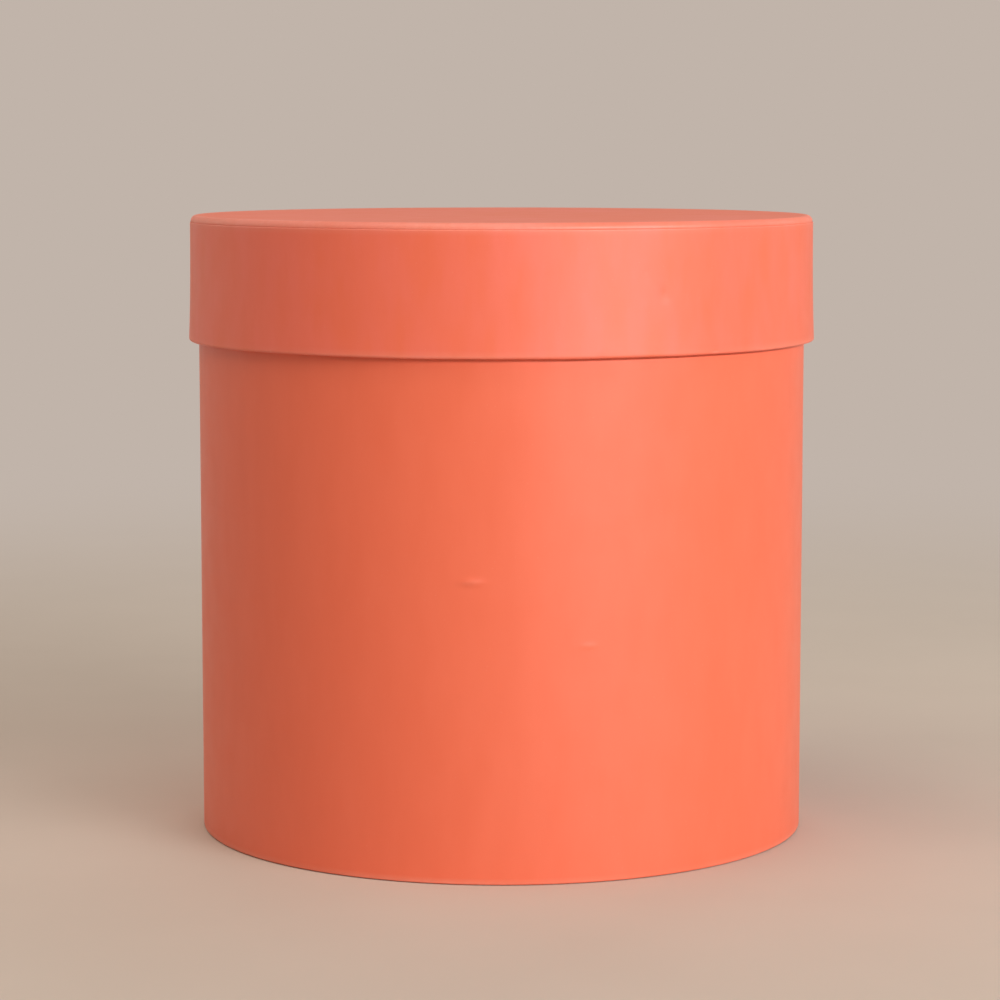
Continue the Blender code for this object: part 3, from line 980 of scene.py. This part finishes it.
class Workshop:
    """Makes wound pieces from their sections, and puts them in the frame.

    Attributes:
        sheet: the tree that winds a section.
        mark: the tree that presses a mark.
        core: the material of the papers' cut edges.
    """

    sharp_angle: float = math.radians(35)

    def __init__(self) -> None:
        """Make the two trees and the material that the pieces share."""
        self.sheet = WindingTree()
        self.mark = MarkTree()
        # A cut edge shows the paper's core, which is pale and fully matt
        self.core = LiningPaper("Uncoated core of the coated paper", pale="FBE3DA", shade="F8D8CC").build()

    def make(
        self,
        half: Half,
        name: str,
        node: str,
        stock: Stock,
        rows: list[Row],
        winding: Winding = Winding(),
        marks: tuple[Mark, ...] = (),
        mark_radius: float = 0.0,
    ) -> None:
        """Wind a section round the axis, and let the piece stand for a node of the frame.

        Args:
            half: the half of the box that the piece moves with.
            name: the piece's name.
            node: the node that it replaces.
            stock: what it is made of.
            rows: its section, in the order that keeps the face on the left of an upright row.
            winding: how it is wound.
            marks: dents and ridges in its face.
            mark_radius: radius of the face that the marks are in.
        """
        piece = bpy.data.objects.new(name, self.section(name, rows))
        bpy.context.scene.collection.objects.link(piece)
        self.sheet.give(piece, winding.inputs(stock))
        for mark in marks:
            self.mark.give(piece, mark.inputs(mark_radius))
        finishes = [stock.material, self.core] if stock.thickness else [stock.material]
        if stock.thickness:
            self.thicken(piece, stock.thickness, finishes)
        self.settle(piece, finishes)
        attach(piece, half.value)
        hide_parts(node)
        triangles = sum(len(face.vertices) - 2 for face in piece.data.polygons)
        log.info("%s replaces %s: %d triangles", name, node, triangles)

    def section(self, name: str, rows: list[Row]) -> bpy.types.Mesh:
        """Chain of points along a section, each with its row's traits.

        Args:
            name: the piece's name.
            rows: the section.

        Returns:
            The chain.
        """
        chain = bpy.data.meshes.new(name)
        points = [(row.radius, 0.0, row.height) for row in rows]
        chain.from_pydata(points, [(n, n + 1) for n in range(len(rows) - 1)], [])
        for trait in TRAITS:
            values = chain.attributes.new(trait, "FLOAT", "POINT")
            values.data.foreach_set("value", [getattr(row, trait) for row in rows])
        return chain

    def thicken(self, piece: bpy.types.Object, thickness: float, finishes: list[bpy.types.Material]) -> None:
        """Give a sheet its thickness behind its face.

        Args:
            piece: the sheet.
            thickness: its thickness.
            finishes: the materials of its face and of its cut edges.
        """
        for finish in finishes:
            piece.data.materials.append(finish)
        stock = piece.modifiers.new("stock", "SOLIDIFY")
        stock.thickness = thickness
        stock.offset = -1
        stock.use_even_offset = True
        stock.material_offset_rim = 1

    def settle(self, piece: bpy.types.Object, finishes: list[bpy.types.Material]) -> None:
        """Turn a piece and its modifiers into a plain mesh.

        Args:
            piece: the piece.
            finishes: its materials.
        """
        chain = piece.data
        graph = bpy.context.evaluated_depsgraph_get()
        mesh = bpy.data.meshes.new_from_object(piece.evaluated_get(graph))
        piece.modifiers.clear()
        piece.data = mesh
        mesh.name = piece.name
        mesh.materials.clear()
        for finish in finishes:
            mesh.materials.append(finish)
        mesh.set_sharp_from_angle(angle=self.sharp_angle)
        bpy.data.meshes.remove(chain)


def ring(node: str) -> tuple[float, float, float]:
    """Size of a packed round node.

    Args:
        node: the node's name.

    Returns:
        Its radius, its lowest height and its highest height.
    """
    low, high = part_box(node)
    return high.x, low.z, high.z


@dataclass
class BoxHalf:
    """What the drum and the lid share.

    Attributes:
        shop: makes the pieces.
        paper: thickness of the papers.
        ink: colour of the covering paper.
        marks: dents and ridges in its outer face.
        radius: radius of that face.
        foot: height of the half's lower edge.
        top: height of its upper edge.
        coral: the covering paper.
        lining: the lining paper.
        board: the board.
        make: makes a piece that moves with this half.
    """

    shop: Workshop
    paper: float = 0.15 * MM
    ink: str = CoatedPaper.ink
    marks: tuple[Mark, ...] = ()
    radius: float = field(init=False)
    foot: float = field(init=False)
    top: float = field(init=False)
    coral: Stock = field(init=False)
    lining: Stock = field(init=False)
    board: Stock = field(init=False)
    make: Callable[..., None] = field(init=False)

    def fetch(self, half: Half, radius: float) -> None:
        """Fetch the papers and the board, and note which half their pieces move with.

        Args:
            half: this half.
            radius: radius of the face that the marks are in.
        """
        where = half.name.lower()
        coral = CoatedPaper(f"Coated art paper, matt varnished, on the {where}", radius, self.marks, self.ink)
        lining = LiningPaper(f"Uncoated lining paper, in the {where}")
        board = GreyBoard(f"Grey board, pressed, of the {where}")
        self.coral = Stock(coral.build(), Slot.CORAL, self.paper)
        self.lining = Stock(lining.build(), Slot.LINING, self.paper)
        self.board = Stock(board.build(), Slot.BOARD)
        self.make = partial(self.shop.make, half)


@dataclass
class BoxBody(BoxHalf):
    """The drum: a rolled tube of board with a disc set into its foot, covered outside and lined inside."""

    inside: float = field(init=False)
    wall: float = 2.5 * MM
    corner: float = 0.85 * MM
    corner_steps: int = 6
    corner_worn: float = 0.25
    lip_worn: float = 0.15
    rim_flat: float = 1.2 * MM
    foot_corner: float = 0.5 * MM
    foot_drop: float = 0.42 * MM
    foot_worn: float = 0.2
    foot_flat: float = 1.6 * MM
    turn_in: float = 15 * MM
    pucker_start: float = 2 * MM
    pucker_first: float = 0.3
    tab_width: float = 12 * MM
    notch_root: float = 1.65 * MM
    notch_width: float = 4 * MM
    card_edge: float = 1 * MM
    card_worn: float = 0.5
    lining_lap: float = 1 * MM
    lap_step: float = 0.45 * MM
    lap_pucker: Pair = (0.25, 0.5)
    board_rounding: float = 0.4 * MM
    board_steps: int = 4
    disc_rounding: float = 0.2 * MM
    disc_steps: int = 3
    wrap_rows: float = 5 * MM
    mark_rows: float = 0.35 * MM
    card_rows: float = 8 * MM
    lining_rows: float = 6 * MM
    tube_rows: float = 20 * MM
    disc_rows: float = 16 * MM
    marks: tuple[Mark, ...] = (
        Mark(-5.2, 93.9 * MM, 8.4 * MM, 3.2 * MM, 3.0, 0.46 * MM, 0.05),
        Mark(15.4, 74.0 * MM, 6.0 * MM, 2.6 * MM, 2.0, 0.12 * MM, 0.03),
    )

    def build(self) -> None:
        """Make and dress every piece of the drum."""
        self.radius, self.foot, self.top = ring("body_wrap")
        self.inside = self.radius - self.wall
        self.fetch(Half.BODY, self.radius)
        self.make_wrap()
        self.make_underside_card()
        self.make_wall_lining()
        self.make_floor_lining()
        self.make_wall_board()
        self.make_bottom_board()

    def make_wrap(self) -> None:
        """Covering paper: turned under in tabs, up the outside, over the rim and down the inside."""
        tab_end = self.radius - self.tab_width
        low = self.foot - self.foot_drop + self.foot_corner
        high = self.top - self.corner
        foot = (self.radius - self.foot_corner, low)
        edge, lip = (self.radius - self.corner, high), (self.inside + self.corner, high)
        steps = self.corner_steps
        rows = [Row(tab_end, self.foot, notch=1.0), Row(self.radius - self.notch_root, self.foot)]
        rows += arc(foot, self.foot_corner, DOWN, OUT, steps, worn=self.foot_worn)
        rows += [Row(self.radius, low + self.foot_flat), Row(self.radius, high - self.rim_flat)]
        rows += arc(edge, self.corner, OUT, UP, steps, worn=self.corner_worn)
        rows += arc(lip, self.corner, UP, IN, steps, worn=self.lip_worn)
        rows += [Row(self.inside, high - self.pucker_start, pucker=self.pucker_first)]
        rows += [Row(self.inside, self.top - self.turn_in, pucker=1.0)]
        fine = [(mark.height - mark.width, mark.height + mark.width, self.mark_rows) for mark in self.marks]
        rows = filled(rows, self.wrap_rows, fine)
        winding = Winding(
            bearing=189,
            column_angle=0.75,
            lap_angle=4.5,
            pucker_depth=0.09 * MM,
            pucker_length=9 * MM,
            uneven_depth=0.2 * MM,
            notch_share=self.notch_width / (TURN * tab_end / Winding.tabs),
            seed=3.0,
        )
        self.make("coral_body_wrap", "body_wrap", self.coral, rows, winding, self.marks, self.radius)

    def make_underside_card(self) -> None:
        """Disc of covered card that hides the tabs."""
        radius, low, high = ring("body_underside_card")
        rows = [Row(0.0, low), Row(radius - self.card_edge, low), Row(radius, low, worn=self.card_worn)]
        card = replace(self.coral, thickness=high - low)
        self.make("coral_underside_card", "body_underside_card", card, filled(rows, self.card_rows))

    def make_wall_lining(self) -> None:
        """Lining of the wall, which laps over the covering paper's turned-in edge."""
        _, low, high = ring("body_wall_lining")
        step = self.top - self.turn_in - self.lining_lap
        lapped = self.inside - self.lap_step
        upper, lower = self.lap_pucker
        rows = [Row(lapped, high, pucker=upper), Row(lapped, step, pucker=lower)]
        rows += [Row(self.inside, step - self.lining_lap), Row(self.inside, low)]
        winding = Winding(
            bearing=-27,
            lap_angle=7,
            pucker_depth=0.06 * MM,
            pucker_length=9 * MM,
            uneven_depth=0.14 * MM,
            seed=3.0,
        )
        self.make("wall_lining", "body_wall_lining", self.lining, filled(rows, self.lining_rows), winding)

    def make_floor_lining(self) -> None:
        """Lining disc on the bottom."""
        radius, _, high = ring("body_floor_lining")
        rows = filled([Row(radius, high), Row(0.0, high)], self.lining_rows)
        winding = Winding(uneven_depth=0.12 * MM, uneven_length=30 * MM)
        self.make("floor_lining", "body_floor_lining", self.lining, rows, winding)

    def make_wall_board(self) -> None:
        """Tube of board between the covering paper and the lining."""
        outer, low, high = ring("body_wall_board")
        inner = self.inside + self.lap_step
        size, steps = self.board_rounding, self.board_steps
        rows = [Row(inner, low)]
        rows += arc((outer - size, low + size), size, DOWN, OUT, steps)
        rows += arc((outer - size, high - size), size, OUT, UP, steps)
        rows += arc((inner + size, high - size), size, UP, IN, steps)
        rows += [rows[0]]
        self.make("wall_board", "body_wall_board", self.board, filled(rows, self.tube_rows))

    def make_bottom_board(self) -> None:
        """Disc of board set into the tube, with die-cut edges."""
        radius, low, high = ring("body_bottom_board")
        size, steps = self.disc_rounding, self.disc_steps
        rows = [Row(0.0, low)]
        rows += arc((radius - size, low + size), size, DOWN, OUT, steps)
        rows += arc((radius - size, high - size), size, OUT, UP, steps)
        rows += [Row(0.0, high)]
        self.make("bottom_board", "body_bottom_board", self.board, filled(rows, self.disc_rows))


@dataclass
class BoxLid(BoxHalf):
    """The lid: a flared ring of board under a disc of board, covered with a top paper and a rim strip."""

    depth: float = field(init=False)
    low: float = field(init=False)
    slack: float = 0.05 * MM
    flare: float = 0.7 * MM
    flare_power: float = 2.5
    bead: float = 0.02 * MM
    bead_height: float = 1.3 * MM
    bead_width: float = 1 * MM
    arris: float = 1.95 * MM
    arris_steps: int = 12
    # The arris's pale tone is rubbed paper and partly a painted highlight where the rounded edge catches the
    # light
    arris_wear_and_highlight: float = 0.3
    arris_pucker: float = 0.3
    arris_flat: float = 0.8 * MM
    lower_corner: float = 0.75 * MM
    corner_steps: int = 6
    corner_worn: Pair = (0.2, 0.15)
    # A pale line along the rim's lower edge: rubbed paper, and partly a painted highlight where the edge
    # catches the light
    edge_wear_and_highlight: float = 0.12
    edge_wear_and_highlight_height: float = 1.2 * MM
    edge_sway_height: float = 14 * MM
    strip_step: float = 0.2 * MM
    strip_drop: float = 2.2 * MM
    # A pale band under the seam: rubbed paper, and partly a painted highlight where the strip's edge catches
    # the light
    strip_wear_and_highlight: float = 0.14
    strip_wear_and_highlight_width: float = 1.8 * MM
    # Rows of the strip's pressed-down cut edge: how far each is under the seam and sunk in, and how pale it
    # is drawn, which is rubbed paper and partly a painted highlight where the cut edge catches the light
    strip_edge: tuple[Triple, ...] = (
        (0.2 * MM, 0.01 * MM, 0.2),
        (0.07 * MM, 0.05 * MM, 0.3),
        (0.0, 0.10 * MM, 0.4),
    )
    strip_edge_sway: float = 0.5
    # Rows near the seam: where they start and end under it, and their spacing
    fine_strip: Triple = (0.35 * MM, 2 * MM, 0.4 * MM)
    # Rows of the rest: where they start under the seam and end over the low corner, and their spacing
    plain_strip: Triple = (3 * MM, 0.3 * MM, 1.6 * MM)
    groove: float = 0.09 * MM
    groove_height: float = 0.04 * MM
    groove_run: float = 0.6 * MM
    groove_pucker: float = 0.4
    margin: float = 11 * MM
    margin_root: float = 4 * MM
    notch_width: float = 2 * MM
    turn_in: float = 12 * MM
    turn_inset: float = 1.9 * MM
    lining_inset: float = 2.2 * MM
    lining_pucker: float = 0.3
    board_inset: float = 0.45 * MM
    board_steps: int = 6
    inner_rows: float = 2.5 * MM
    board_rows: float = 3 * MM
    top_rows: float = 5 * MM
    lining_rows: float = 6 * MM
    disc_rows: float = 16 * MM
    ink: str = "F5745C"
    # Share of painted shade, browner and greyer, on the top's face that looks up
    painted_shade_share: float = 0.25
    marks: tuple[Mark, ...] = (
        Mark(28.7, 180.5 * MM, 5.2 * MM, 2.6 * MM, 122.0, -0.28 * MM, 0.0),
        Mark(25.3, 187.2 * MM, 2.2 * MM, 2.2 * MM, 0.0, -0.17 * MM, 0.03),
        Mark(-43.8, 162.5 * MM, 1.6 * MM, 1.6 * MM, 0.0, -0.10 * MM, 0.22),
        Mark(16.8, 162.3 * MM, 2.6 * MM, 1.2 * MM, 0.0, -0.10 * MM, 0.12),
        Mark(39.6, 162.6 * MM, 5.0 * MM, 1.6 * MM, 0.0, -0.12 * MM, 0.20),
    )

    def build(self) -> None:
        """Make and dress every piece of the lid."""
        widest, self.foot, _ = ring("lid_rim_wrap")
        widest -= self.slack
        _, _, self.top = ring("lid_top_paper")
        self.top -= self.slack
        self.depth = self.top - self.foot
        self.low = self.foot + self.lower_corner
        self.radius = widest - self.flare * ((self.top - self.low) / self.depth) ** self.flare_power
        self.fetch(Half.LID, widest)
        self.make_rim_wrap()
        self.make_top_paper()
        self.make_rim_lining()
        self.make_top_lining()
        self.make_rim_board()
        self.make_top_board()

    def face(self, height: float) -> float:
        """Radius of the rim's outer face at a height: straight, then flared towards the lower edge."""
        return self.radius + self.flare * ((self.top - height) / self.depth) ** self.flare_power

    def down(self, top: float, bottom: float, inset: float, spacing: float, **traits: float) -> list[Row]:
        """Rows down the rim, at a constant depth under its outer face.

        Args:
            top: height of the first row.
            bottom: height of the last row.
            inset: depth under the outer face.
            spacing: how far apart the rows may be.
            traits: the rows' other values.

        Returns:
            The rows.
        """
        steps = max(1, math.ceil((top - bottom) / spacing))
        heights = [top + (bottom - top) * step / steps for step in range(steps + 1)]
        return [Row(self.face(height) - inset, height, **traits) for height in heights]

    def strip_row(self, row: Row, seam: float) -> Row:
        """Row of the strip's outer face, with its bead, its waver, and its paler bands at the lower edge and
        under the seam, which are rubbed paper and partly a painted highlight.

        Args:
            row: the plain row.
            seam: height of the strip's upper edge.

        Returns:
            The finished row.
        """
        up = row.height - self.low
        at_edge = max(0.0, 1 - up / self.edge_wear_and_highlight_height)
        at_seam = max(0.0, 1 - (seam - row.height) / self.strip_wear_and_highlight_width)
        # The paler bands at the lower edge and under the seam are partly a painted highlight
        return replace(
            row,
            radius=row.radius + self.bead * math.exp(-(((up - self.bead_height) / self.bead_width) ** 2)),
            sway=max(0.0, 1 - up / self.edge_sway_height),
            worn=self.edge_wear_and_highlight * at_edge + self.strip_wear_and_highlight * at_seam,
        )

    def make_rim_wrap(self) -> None:
        """Strip round the rim: turned in at the lower edge, with its upper cut edge just under the arris."""
        seam = self.top - self.strip_drop
        low_face = self.face(self.low)
        corner, steps = self.lower_corner, self.corner_steps
        inner_worn, outer_worn = self.corner_worn
        inner = self.down(self.foot + self.turn_in, self.low, self.turn_inset, self.inner_rows)
        rows = [replace(row, pucker=(row.height - self.low) / self.turn_in, sway=1.0) for row in inner[:-1]]
        centre = (low_face - self.turn_inset + corner, self.low)
        rows += arc(centre, corner, IN_FROM_BELOW, DOWN, steps, worn=inner_worn, sway=1.0)
        rows += arc((low_face - corner, self.low), corner, DOWN, OUT, steps, worn=outer_worn, sway=1.0)
        start, end, spacing = self.fine_strip
        outer = self.down(seam - start, seam - end, 0.0, spacing)
        start, end, spacing = self.plain_strip
        outer += self.down(seam - start, self.low + end, 0.0, spacing)
        rows += [self.strip_row(row, seam) for row in reversed(outer)]
        # The cut edge is drawn paler: rubbed paper, and partly a painted highlight where it catches the light
        for drop, sunk, worn in self.strip_edge:
            rows += [Row(self.face(seam) - sunk, seam - drop, worn=worn, sway=self.strip_edge_sway)]
        winding = Winding(
            bearing=201,
            column_angle=0.5,
            lap_angle=4.5,
            pucker_depth=0.07 * MM,
            pucker_length=8 * MM,
            sway_height=0.45 * MM,
            uneven_depth=0.14 * MM,
            seed=8.0,
        )
        self.make("coral_rim_wrap", "lid_rim_wrap", self.coral, rows, winding, self.marks, low_face)

    def make_top_paper(self) -> None:
        """Covering paper of the top: a notched margin behind the strip, round the arris and over the disc."""
        side = self.radius - self.strip_step
        gap = self.top - self.strip_drop
        pucker = self.groove_pucker
        rows = [Row(side, self.top - self.margin, notch=1.0), Row(side, self.top - self.margin_root)]
        rows += [Row(side, gap - self.groove_run, pucker=pucker)]
        rows += [Row(side - self.groove, gap + self.groove_height, pucker=pucker)]
        centre = (side - self.arris, self.top - self.arris)
        # The arris is drawn paler: rubbed paper, and a painted highlight where the rounded edge catches the
        # light
        traits = {"worn": self.arris_wear_and_highlight, "pucker": self.arris_pucker}
        rows += arc(centre, self.arris, OUT, UP, self.arris_steps, **traits)
        rows += [Row(side - self.arris - self.arris_flat, self.top), Row(0.0, self.top)]
        winding = Winding(
            bearing=9,
            column_angle=0.75,
            pucker_depth=0.05 * MM,
            pucker_length=6 * MM,
            uneven_depth=0.12 * MM,
            uneven_length=55 * MM,
            notch_share=self.notch_width / (TURN * side / Winding.tabs),
            seed=5.0,
        )
        # The top's paper is drawn with painted shade on its face that looks up
        name = "Coated art paper, dusty, on the top"
        with_painted_shade = CoatedPaper(name, side, ink=self.ink, painted_shade_share=self.painted_shade_share)
        with_painted_shade = replace(self.coral, material=with_painted_shade.build())
        self.make("coral_top_paper", "lid_top_paper", with_painted_shade, filled(rows, self.top_rows), winding)

    def make_rim_lining(self) -> None:
        """Lining inside the rim, which laps over the strip's turned-in edge."""
        _, low, high = ring("lid_rim_lining")
        inset = self.lining_inset + self.paper
        rows = self.down(high, low, inset, self.inner_rows, pucker=self.lining_pucker)
        winding = Winding(
            bearing=-63,
            lap_angle=8,
            pucker_depth=0.05 * MM,
            pucker_length=8 * MM,
            uneven_depth=0.06 * MM,
            seed=8.0,
        )
        self.make("rim_lining", "lid_rim_lining", self.lining, rows, winding)

    def make_top_lining(self) -> None:
        """Lining disc under the top."""
        radius, low, _ = ring("lid_top_lining")
        rows = filled([Row(0.0, low), Row(radius, low)], self.lining_rows)
        winding = Winding(uneven_depth=0.08 * MM, uneven_length=30 * MM)
        self.make("top_lining", "lid_top_lining", self.lining, rows, winding)

    def make_rim_board(self) -> None:
        """Ring of board that fills the rim between its papers."""
        _, low, high = ring("lid_rim_board")
        outer = self.down(high, low, self.board_inset, self.board_rows)[::-1]
        inner = self.down(high, low, self.turn_inset - self.paper * 2, self.board_rows)
        self.make("rim_board", "lid_rim_board", self.board, outer + inner + outer[:1])

    def make_top_board(self) -> None:
        """Disc of board on the ring, with a rounded upper edge."""
        radius, low, high = ring("lid_top_board")
        size = self.arris - self.board_inset
        rows = [Row(0.0, low), Row(radius, low)]
        rows += arc((radius - size, high - size), size, OUT, UP, self.board_steps)
        rows += [Row(0.0, high)]
        self.make("top_board", "lid_top_board", self.board, filled(rows, self.disc_rows))


@dataclass(frozen=True)
class Lamp:
    """A soft box.

    Attributes:
        name: what it does.
        bearing: where it stands, in degrees to the right of the camera's side of the box.
        elevation: how high it stands, in degrees.
        distance: how far it is from the box.
        width: its width.
        height: its height.
        power: its power in watts.
        colour: its light's colour.
        shine: whether glossy surfaces mirror it.
    """

    name: str
    bearing: float
    elevation: float
    distance: float
    width: float
    height: float
    power: float
    colour: str = "FFFFFF"
    shine: bool = True

    def build(self, target: Vector) -> None:
        """Hang the lamp, turned towards a point.

        Args:
            target: the point.
        """
        data = bpy.data.lights.new(self.name, "AREA")
        data.shape = "RECTANGLE"
        data.size = self.width
        data.size_y = self.height
        data.energy = self.power
        data.color = linear(self.colour)[:3]
        lamp = bpy.data.objects.new(self.name, data)
        lamp.visible_glossy = self.shine
        bpy.context.scene.collection.objects.link(lamp)
        turn, climb = math.radians(self.bearing + FRONT), math.radians(self.elevation)
        away = Vector((math.cos(turn) * math.cos(climb), math.sin(turn) * math.cos(climb), math.sin(climb)))
        lamp.location = target + away * self.distance
        lamp.rotation_euler = (-away).to_track_quat("-Z", "Y").to_euler()


@dataclass
class Studio:
    """The plain pale floor, the soft boxes, and the camera where the photograph was taken.

    The floor is matt, unprinted backdrop paper, which gives it faint clouds and no shine. It fades into the
    backdrop's plain colour from fade_start to fade_end away from the box.
    """

    floor_colour: str = "CFC1B2"
    cloudy_colour: str = "CCBEAF"
    backdrop_colour: str = "C1B4AA"
    floor_roughness: float = 0.9
    floor_radius: float = 6.0
    floor_corners: int = 96
    fade_start: float = 0.24
    fade_end: float = 1.2
    clouds: Pattern = Pattern(90 * MM, 3.0)
    cloud_span: Pair = (0.3, 0.7)
    daylight: float = 0.10
    daylight_colour: str = "FFFFFF"
    target: Triple = (0.0, 0.0, 0.1)
    camera_distance: float = 1.0669
    camera_height: float = 0.2292
    camera_side: float = -0.0005
    # The camera looks level at the first angle, and dips by the second one
    camera_level: float = 90.0
    camera_dip: float = 6.489
    lens: float = 115.72
    lamps: tuple[Lamp, ...] = (
        Lamp("wide strip light", 40.0, 18.0, 2.2, 2.4, 0.2, 29.0),
        Lamp("key strip light", 41.0, 17.5, 2.2, 0.9, 0.2, 14.5),
        Lamp("left soft box", -50.0, 62.0, 2.2, 1.4, 1.4, 13.5, "FFEEDD"),
        Lamp("top soft box", 0.0, 75.0, 2.2, 1.6, 1.6, 5.0),
        Lamp("right soft box", 115.0, 22.0, 2.2, 1.4, 1.4, 5.0),
        Lamp("back soft box", -118.0, 25.0, 2.2, 1.6, 1.6, 7.0, "FFEEDD"),
        Lamp("rear soft box", 175.0, 40.0, 2.4, 1.6, 1.6, 13.0, shine=False),
    )

    def build(self) -> None:
        """Make the floor, the light and the camera."""
        self.make_floor()
        self.make_daylight()
        for lamp in self.lamps:
            lamp.build(Vector(self.target))
        self.make_camera()

    def seen(self, node: Adder) -> Socket:
        """Tell the rays that show a surface, in a view or a reflection, from the rays that light it.

        Args:
            node: adds a node to the tree.

        Returns:
            Socket with 1 for a ray that shows a surface, and else 0.
        """
        rays = node("ShaderNodeLightPath", out="Is Camera Ray").node.outputs
        seen = node("ShaderNodeMath", (rays["Is Camera Ray"], rays["Is Glossy Ray"]), operation="MAXIMUM")
        return node("ShaderNodeMath", (seen, rays["Is Transmission Ray"]), operation="MAXIMUM")

    def make_floor(self) -> None:
        """Round floor of backdrop paper, which fades into the backdrop's plain colour far from the box."""
        material, node = blank_material("Matt backdrop paper, unprinted")
        place = node("ShaderNodeTexCoord", out="Object")
        clouds = node("ShaderNodeTexNoise", self.clouds.over(place))
        colour = two_toned(node, clouds, self.cloud_span, self.floor_colour, self.cloudy_colour)
        lit = node("ShaderNodeBsdfPrincipled", {"Base Color": colour, "Roughness": self.floor_roughness})
        plain = node("ShaderNodeEmission", {"Color": linear(self.backdrop_colour), "Strength": 1.0})
        away = node("ShaderNodeVectorMath", (place,), out="Value", operation="LENGTH")
        fade = node("ShaderNodeMapRange", (away, self.fade_start, self.fade_end, *FULL), **SMOOTHER)
        fade = node("ShaderNodeMath", (fade, self.seen(node)), operation="MULTIPLY")
        shader = node("ShaderNodeMixShader", (fade, lit, plain))
        node("ShaderNodeOutputMaterial", {"Surface": shader})
        size = {"vertices": self.floor_corners, "radius": self.floor_radius}
        bpy.ops.mesh.primitive_circle_add(fill_type="NGON", **size)
        floor = bpy.context.object
        floor.name = "studio_floor"
        floor.data.materials.append(material)

    def make_daylight(self) -> None:
        """Even light from all round, with the backdrop's plain colour where the eye meets it."""
        world = bpy.data.worlds.new("studio daylight")
        world.use_nodes = True
        world.node_tree.nodes.clear()
        node = partial(add, world.node_tree)
        light = node("ShaderNodeBackground", (linear(self.daylight_colour), self.daylight))
        plain = node("ShaderNodeBackground", (linear(self.backdrop_colour), 1.0))
        sky = node("ShaderNodeMixShader", (self.seen(node), light, plain))
        node("ShaderNodeOutputWorld", {"Surface": sky})
        bpy.context.scene.world = world

    def make_camera(self) -> None:
        """Camera, fitted to the outline of the box in the photograph."""
        data = bpy.data.cameras.new("camera")
        data.lens = self.lens
        camera = bpy.data.objects.new("camera", data)
        camera.location = (self.camera_side, -self.camera_distance, self.camera_height)
        camera.rotation_euler = (math.radians(self.camera_level - self.camera_dip), 0.0, 0.0)
        bpy.context.scene.collection.objects.link(camera)
        bpy.context.scene.camera = camera


def main() -> None:
    """Load the frame, and build both halves of the box and the studio."""
    logging.basicConfig(level=logging.INFO, format="%(message)s")
    for leftover in list(bpy.data.objects):
        bpy.data.objects.remove(leftover)
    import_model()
    bpy.context.scene.view_settings.view_transform = "Standard"
    shop = Workshop()
    for part in (BoxBody(shop), BoxLid(shop), Studio()):
        part.build()


if __name__ == "__main__":
    main()
